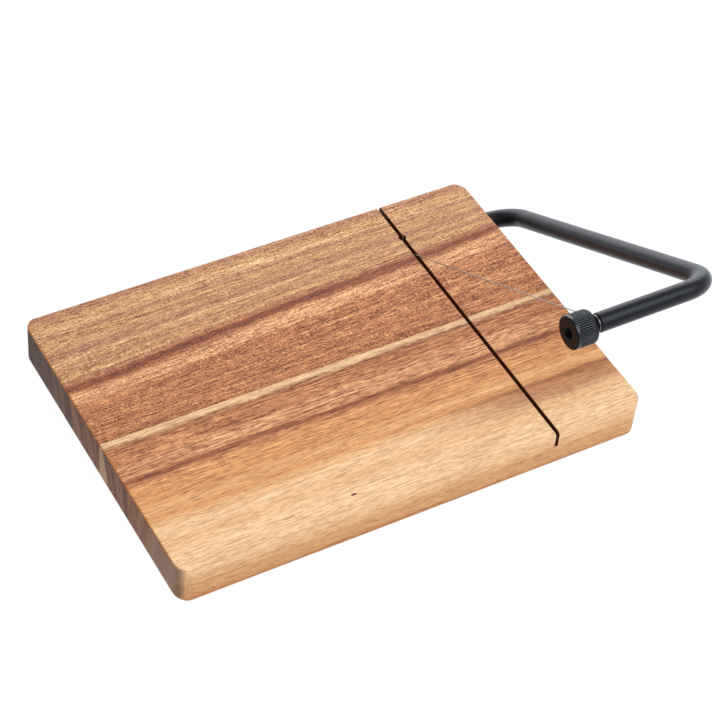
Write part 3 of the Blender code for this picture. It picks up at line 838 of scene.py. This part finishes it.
def build_board():
    board = board_mesh()
    rear_wood = wood("acacia_rear", 1, REAR_BANDS, climb=(13.0, 2.0, 45.0, 82.0), tilt=(0.25, 0.35),
                     contrast=(1.35, 1.2, 22.0, 34.0), stretch=1.0, sap_edge=-9.0,
                     end_dark=0.8, seed=1.0)
    front_wood = wood("acacia_front", -1, FRONT_BANDS, climb=(-1.0, 2.0, 30.0, 60.0),
                      tilt=(-0.32, 0.5), contrast=(1.2, 0.42, 12.0, 56.0), stretch=3.2,
                      sap_edge=3.4, end_dark=0.0, seed=40.0)
    rear = cut(plank_mesh(board, 1), [slot_cutter()] + bore_cutters() + foot_cutters(1))
    front = cut(plank_mesh(board, -1), [slot_cutter()] + foot_cutters(-1))
    add_piece("rear_plank_acacia", rear, rear_wood, "board", ["rear_plank"])
    add_piece("front_plank_acacia", front, front_wood, "board", ["front_plank"])


def build_bushing(nylon):
    low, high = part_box("pivot_bushing")
    outer = box_radius("pivot_bushing")
    inner = ROD_RADIUS + ROD_CLEARANCE
    outline = filleted([(low.x, inner, BUSHING_ROUND), (low.x, outer, BUSHING_ROUND),
                        (high.x, outer, BUSHING_ROUND), (high.x, inner, BUSHING_MOUTH_ROUND)],
                       closed=True)
    place = Matrix.Translation((0.0, PIVOT.y, PIVOT.z))
    add_piece("pivot_bushing_nylon", turned("bushing", outline, 96, True), nylon, "board",
              ["pivot_bushing"], place=place)


def build_feet(rubber):
    """Round rubber feet with a soft rim and a shallow moulded dimple underneath."""
    for node in FEET:
        low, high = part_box(node)
        radius = (high.x - low.x) / 2
        height = high.z - low.z
        dimple_x = -height + FOOT_DIMPLE
        outline = filleted([(0.0, 0.0, 0.0), (0.0, radius, 0.0003), (-height, radius, 0.0007),
                            (-height, radius * 0.55, FOOT_DIMPLE),
                            (dimple_x, radius * 0.45, FOOT_DIMPLE), (dimple_x, 0.0, 0.0)])
        middle = box_middle(node)
        upright = Matrix.Rotation(-math.pi / 2, 4, 'Y')
        place = Matrix.Translation((middle.x, middle.y, high.z)) @ upright
        add_piece(node + "_rubber", turned(node, outline, 64, False), rubber, "board", [node],
                  place=place)


# Handle

def rod_path():
    """Middle line and radius of the rod: pivot leg, bend, cross bar, bend, knob leg."""
    tip_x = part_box("handle_rod")[0].x
    shoulder_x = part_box("inner_washer")[1].x + ROD_CLEARANCE
    inner_x = BAR_X - BEND_RADIUS
    near = arc((inner_x, -BEND_RADIUS), BEND_RADIUS, math.pi / 2, 0.0, BEND_STEPS)
    far = arc((inner_x, -ARM_LENGTH + BEND_RADIUS), BEND_RADIUS, 0.0, -math.pi / 2, BEND_STEPS)
    ends = []
    for index in range(ROD_END_STEPS + 1):
        angle = math.pi / 2 * index / ROD_END_STEPS
        inset = ROD_END_ROUND * (1 - math.sin(angle))
        ends.append((ROD_END_ROUND * (1 - math.cos(angle)), inset))
    path = [Vector((tip_x + run, 0.0, 0.0)) for run, _ in ends]
    radii = [ROD_RADIUS - inset for _, inset in ends]
    for point in near + far:
        path.append(Vector((point.x, point.y, 0.0)))
        radii.append(ROD_RADIUS)
    for run, inset in reversed(ends):
        path.append(Vector((shoulder_x + run, -ARM_LENGTH, 0.0)))
        radii.append(ROD_RADIUS - inset)
    return path, radii


def build_rod(coat):
    path, radii = rod_path()
    rod = swept("rod", path, radii, ROD_SIDES)
    outside = ROD_RADIUS + CUT_MARGIN
    axis_point = Vector((SLOT_X, 0.0, 0.0))
    outward = (BALL_CENTER - axis_point).normalized()
    pocket = cylinder_cutter(BALL_RADIUS + POCKET_CLEARANCE,
                             BALL_CENTER - outward * (BALL_RADIUS + ROD_CLEARANCE),
                             axis_point + outward * outside, 48)
    half_slit = WIRE_RADIUS + ROD_CLEARANCE
    slit_floor = BALL_CENTER.z - half_slit
    slit = prism_cutter([(SLOT_X - half_slit, slit_floor), (SLOT_X + half_slit, slit_floor),
                         (SLOT_X + half_slit, outside), (SLOT_X - half_slit, outside)],
                        -outside, BALL_CENTER.y)
    shoulder_x = path[-1].x
    stud_hole = cylinder_cutter(STUD_RADIUS + ROD_CLEARANCE,
                                (shoulder_x - CUT_MARGIN, -ARM_LENGTH, 0.0),
                                (shoulder_x + STUD_HOLE_DEPTH, -ARM_LENGTH, 0.0), 48)
    rod = cut(rod, [pocket, slit, stud_hole])
    add_piece("handle_rod_coated", rod, coat, "handle", ["handle_rod"],
              place=HANDLE_FRAME)


def tangent_point(outside, center, radius, side):
    """Where a line from an outside point touches a circle, on the upper (+1) or lower (-1) side."""
    reach = outside - center
    swing = math.acos(radius / reach.length)
    angle = math.atan2(reach.y, reach.x) + side * swing
    return center + radius * Vector((math.cos(angle), math.sin(angle)))


def wire_line():
    """The wire in the handle's (Y, Z): where it leaves the eye, its direction, and its points."""
    ball = Vector((BALL_CENTER.y, BALL_CENTER.z))
    stud = Vector((-ARM_LENGTH, 0.0))
    eye_radius = STUD_RADIUS + ROD_CLEARANCE + WIRE_RADIUS
    upper = tangent_point(ball, stud, eye_radius, 1)
    back = (ball - upper).normalized()
    start = ball - back * (BALL_RADIUS * 0.6)
    beside = Vector((back.y, -back.x)) * STRAND_PITCH
    bend = upper + back * (CRIMP_START - TAIL_BEND) + beside
    tail_end = upper + back * (CRIMP_START + CRIMP_LENGTH + TAIL_END) + beside
    lower = tangent_point(bend, stud, eye_radius, -1)
    first = math.atan2(upper.y - stud.y, upper.x - stud.x)
    last = math.atan2(lower.y - stud.y, lower.x - stud.x) + math.tau
    points = [start] + arc(stud, eye_radius, first, last, EYE_STEPS)
    for t in (0.25, 0.5, 0.75):
        points.append(lower.lerp(bend, t))
    points += [bend, bend.lerp(tail_end, 0.5), tail_end]
    return upper, back, points


def stadium(width, height):
    """Outline of an oval around the two strands of wire."""
    outline = []
    for middle, start in ((STRAND_PITCH / 2, 0.0), (-STRAND_PITCH / 2, math.pi)):
        for point in arc((0.0, middle), 1.0, start, start + math.pi, CRIMP_STEPS):
            outline.append(Vector((point.x * width, middle + (point.y - middle) * height)))
    return outline


def bell(t):
    """A bell curve of height 1."""
    return math.exp(-t ** 2)


def crimp_mesh():
    """An oval sleeve pressed flat in two places, along its own X."""
    inside = WIRE_RADIUS + CRIMP_CLEARANCE
    rows = []
    for index in range(CRIMP_RINGS + 1):
        t = index / CRIMP_RINGS
        pressed = PRESS_DEPTH * (bell((t - 0.3) / 0.09) + bell((t - 0.7) / 0.09))
        flare = FLARE * (bell(t / 0.05) + bell((1 - t) / 0.05))
        wall = CRIMP_WALL - pressed - flare
        outline = stadium(inside + wall, inside + CRIMP_WALL - flare)
        rows.append([((t - 0.5) * CRIMP_LENGTH, point.x, point.y) for point in outline])
    bore = stadium(inside, inside)
    for index in range(CRIMP_RINGS + 1):
        t = 1 - index / CRIMP_RINGS
        rows.append([((t - 0.5) * CRIMP_LENGTH, point.x, point.y) for point in bore])
    return grid_mesh("crimp", rows, True, True)


def frame_along(origin, direction):
    """A frame on the handle whose X runs in a direction of the handle's (Y, Z)."""
    return (HANDLE_FRAME @ Matrix.Translation(origin)
            @ Matrix.Rotation(math.atan2(direction.y, direction.x), 4, 'X')
            @ Matrix.Rotation(math.pi / 2, 4, 'Z'))


def build_wire(steel):
    upper, back, points = wire_line()
    path = [Vector((SLOT_X, point.x, point.y)) for point in points]
    wire = swept("wire", path, [WIRE_RADIUS] * len(path), WIRE_SIDES)
    add_piece("cutting_wire_drawn", wire, steel, "handle", ["cutting_wire"],
              place=HANDLE_FRAME)

    # The ball is pressed onto the wire's end, with a short neck towards the knob
    neck = BALL_RADIUS + NECK_LENGTH
    neck_radius = WIRE_RADIUS + NECK_WALL
    ball = arc((0.0, 0.0), BALL_RADIUS, math.pi, 0.30, 28)
    outline = [(point.x, abs(point.y)) for point in ball]
    outline += [(neck, neck_radius), (neck, WIRE_RADIUS * 0.9), (neck - 0.0002, 0.0)]
    add_piece("wire_ball_pressed", turned("ball", outline, 40, False), steel, "handle",
              ["wire_ball"], place=frame_along(BALL_CENTER, -back))

    beside = Vector((back.y, -back.x))
    middle = upper + back * (CRIMP_START + CRIMP_LENGTH / 2) + beside * (STRAND_PITCH / 2)
    add_piece("wire_crimp_pressed", crimp_mesh(), steel, "handle", ["wire_crimp"],
              place=frame_along((SLOT_X, middle.x, middle.y), back))


# Clamp

def thread_cut(x, angle):
    """How deep a right-hand V thread is here, from 0 on its crest to 1 in its root."""
    phase = (x / THREAD_PITCH - angle / math.tau) % 1.0
    wedge = abs(2.0 * phase - 1.0)
    return unit((wedge - 0.1) / 0.8)


def stud_radius(x, radius, angle):
    """The stud's thread, which runs out in its chamfers."""
    if radius < STUD_RADIUS - THREAD_DEPTH:
        return radius
    return min(radius, STUD_RADIUS - THREAD_DEPTH * thread_cut(x, angle))


def build_stud(steel):
    low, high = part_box("clamp_stud")
    end_radius = STUD_RADIUS - STUD_CHAMFER
    rings = int((high.x - low.x) / THREAD_PITCH * RINGS_PER_TURN)
    outline = [(low.x, 0.0), (low.x, end_radius)]
    for index in range(rings + 1):
        x = low.x + (high.x - low.x) * index / rings
        outline.append((x, min(STUD_RADIUS, end_radius + (x - low.x), end_radius + (high.x - x))))
    outline += [(high.x, end_radius), (high.x, 0.0)]
    add_piece("clamp_stud_threaded", turned("stud", outline, 48, False, stud_radius), steel, "handle",
              ["clamp_stud"], place=KNOB_FRAME)


def build_washers(steel):
    for node, body in (("inner_washer", "handle"), ("outer_washer", "clamp_washer")):
        low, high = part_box(node)
        radius = box_radius(node)
        bore = STUD_RADIUS + ROD_CLEARANCE
        outline = filleted([(low.x, bore, WASHER_BORE_ROUND), (low.x, radius, WASHER_RIM_ROUND),
                            (high.x, radius, WASHER_RIM_ROUND), (high.x, bore, WASHER_BORE_ROUND)],
                           closed=True)
        add_piece(node + "_pressed", turned(node, outline, 96, True), steel, body, [node],
                  place=KNOB_FRAME)


def build_knob(coat):
    """The tension knob: plain front band, straight knurl, rounded back, threaded bore."""
    low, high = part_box("tension_knob")
    front, back = low.x, high.x
    knurl_start = front + KNOB_FRONT_BAND
    knurl_end = back - KNOB_BACK_BAND
    bore = STUD_RADIUS + ROD_CLEARANCE
    mouth = bore + KNOB_MOUTH

    def knob_radius(x, radius, angle):
        if radius < mouth:
            inside = x > front + KNOB_THREAD_START and radius <= bore + 1e-6
            return radius - KNOB_THREAD_DEPTH * thread_cut(x, angle) if inside else radius
        ridge = 0.5 + 0.5 * math.cos(angle * KNURL_COUNT)
        groove = 1.0 - min(1.0, ridge * 1.7)
        start = unit((x - knurl_start) / KNURL_RAMP)
        end = unit((knurl_end - x) / KNURL_FADE)
        outer = unit((radius - KNURL_INNER) / KNURL_FADE)
        return radius - KNURL_DEPTH * groove * start * end * outer

    shell = filleted([(front, mouth, 0.0), (front, KNOB_RADIUS - 0.0001, KNOB_FRONT_ROUND),
                      (back, KNOB_RADIUS, KNOB_BACK_ROUND), (back, bore, 0.0002)], steps=10)
    outline = [shell[0]]
    for before, after in zip(shell, shell[1:]):
        pieces = max(1, round((after - before).length / KNOB_RING_STEP))
        for index in range(1, pieces + 1):
            outline.append(before.lerp(after, index / pieces))
    for index in range(1, KNOB_BORE_RINGS):
        outline.append(Vector((back + (front + 0.0010 - back) * index / KNOB_BORE_RINGS, bore)))
    outline += [Vector((front + KNOB_MOUTH, bore)), Vector((front + 0.0001, mouth - 0.0001))]
    knob = turned("knob", outline, KNURL_COUNT * 8, True, knob_radius)
    add_piece("tension_knob_knurled", knob, coat, "knob", ["tension_knob"],
              sharp_degrees=50.0, place=KNOB_FRAME)


# Studio

CAMERA_AZIMUTH = math.radians(-33.417)
CAMERA_ELEVATION = math.radians(45.78)
CAMERA_ROLL = math.radians(6.094)
CAMERA_DISTANCE = 1.15444
CAMERA_TARGET = Vector((0.0243, 0.01274, 0.0))
CAMERA_LENS_MM = 115.155
SENSOR_WIDTH_MM = 36.0
FLOOR_REACH = 4.0  # half the floor's width
FLOOR_GLOW = 0.98
WORLD_STRENGTH = 0.5
# Soft boxes: place, target, width and height, and watts
KEY_LAMP = ((0.45, -0.8, 1.15), (0.0, 0.0, 0.0), (1.0, 1.0), 12.0)
BACK_LAMP = ((0.55, 1.25, 0.6), (0.05, 0.0, 0.03), (2.0, 1.0), 18.0)


def add_camera():
    back = Vector((math.sin(CAMERA_AZIMUTH) * math.cos(CAMERA_ELEVATION),
                   -math.cos(CAMERA_AZIMUTH) * math.cos(CAMERA_ELEVATION),
                   math.sin(CAMERA_ELEVATION)))
    right = (-back).cross(Vector((0.0, 0.0, 1.0))).normalized()
    up = back.cross(right)
    camera_x = right * math.cos(CAMERA_ROLL) + up * math.sin(CAMERA_ROLL)
    camera_y = up * math.cos(CAMERA_ROLL) - right * math.sin(CAMERA_ROLL)
    data = bpy.data.cameras.new("camera")
    data.lens = CAMERA_LENS_MM
    data.sensor_width = SENSOR_WIDTH_MM
    camera = new_object("camera", data)
    turn = Matrix((camera_x, camera_y, back)).transposed().to_4x4()
    camera.matrix_world = Matrix.Translation(CAMERA_TARGET + back * CAMERA_DISTANCE) @ turn
    bpy.context.scene.camera = camera


def add_floor():
    """A table top whose own glow keeps it white and its shadows faint."""
    mesh = bpy.data.meshes.new("floor")
    shape = bmesh.new()
    floor_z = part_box("foot_rear_left")[0].z
    bmesh.ops.create_grid(shape, x_segments=4, y_segments=4, size=FLOOR_REACH,
                          matrix=Matrix.Translation((0.0, 0.0, floor_z)))
    shape.to_mesh(mesh)
    shape.free()
    graph = Graph("white_table")
    graph.set(Base_Color=(0.03, 0.03, 0.03, 1.0), Roughness=1.0, Specular_IOR_Level=0.0,
              Emission_Color=(1.0, 1.0, 1.0, 1.0), Emission_Strength=FLOOR_GLOW)
    mesh.materials.append(graph.material)
    floor = new_object("floor", mesh)


def add_lamp(name, place, target, size, power):
    """A rectangular soft box that faces its target."""
    data = bpy.data.lights.new(name, 'AREA')
    data.shape = 'RECTANGLE'
    data.size, data.size_y = size
    data.energy = power
    lamp = new_object(name, data)
    lamp.location = place
    lamp.rotation_mode = 'QUATERNION'
    lamp.rotation_quaternion = (Vector(target) - Vector(place)).to_track_quat('-Z', 'Y')


def add_light():
    world = bpy.data.worlds.new("studio")
    world.use_nodes = True
    background = world.node_tree.nodes["Background"]
    background.inputs["Color"].default_value = (1.0, 1.0, 1.0, 1.0)
    background.inputs["Strength"].default_value = WORLD_STRENGTH
    bpy.context.scene.world = world
    add_lamp("key", *KEY_LAMP)
    add_lamp("back", *BACK_LAMP)
    bpy.context.scene.view_settings.view_transform = 'Standard'


# Build

rod_coat = black_coat("black_rod_coat", specular=0.3, sheen=0.5, roughness=0.38)
knob_coat = black_coat("black_knob_coat", specular=0.8, sheen=0.08, roughness=0.32, knurled=True)
bright_steel = bright_metal("bright_steel", linear(122, 121, 118), linear(84, 82, 80),
                            roughness=0.32, grain_mm=0.3)
wire_steel = bright_metal("wire_steel", linear(165, 163, 160), linear(132, 130, 128),
                          roughness=0.2, grain_mm=0.15)
nylon = matt_polymer("black_nylon", linear(36, 36, 37), linear(52, 51, 50),
                     roughness=0.5, grain_mm=0.25)
rubber = matt_polymer("grey_rubber", linear(72, 72, 72), linear(96, 94, 92),
                      roughness=0.8, grain_mm=0.5)

build_board()
build_bushing(nylon)
build_feet(rubber)
build_rod(rod_coat)
build_wire(wire_steel)
build_stud(bright_steel)
build_washers(bright_steel)
build_knob(knob_coat)
add_camera()
add_floor()
add_light()
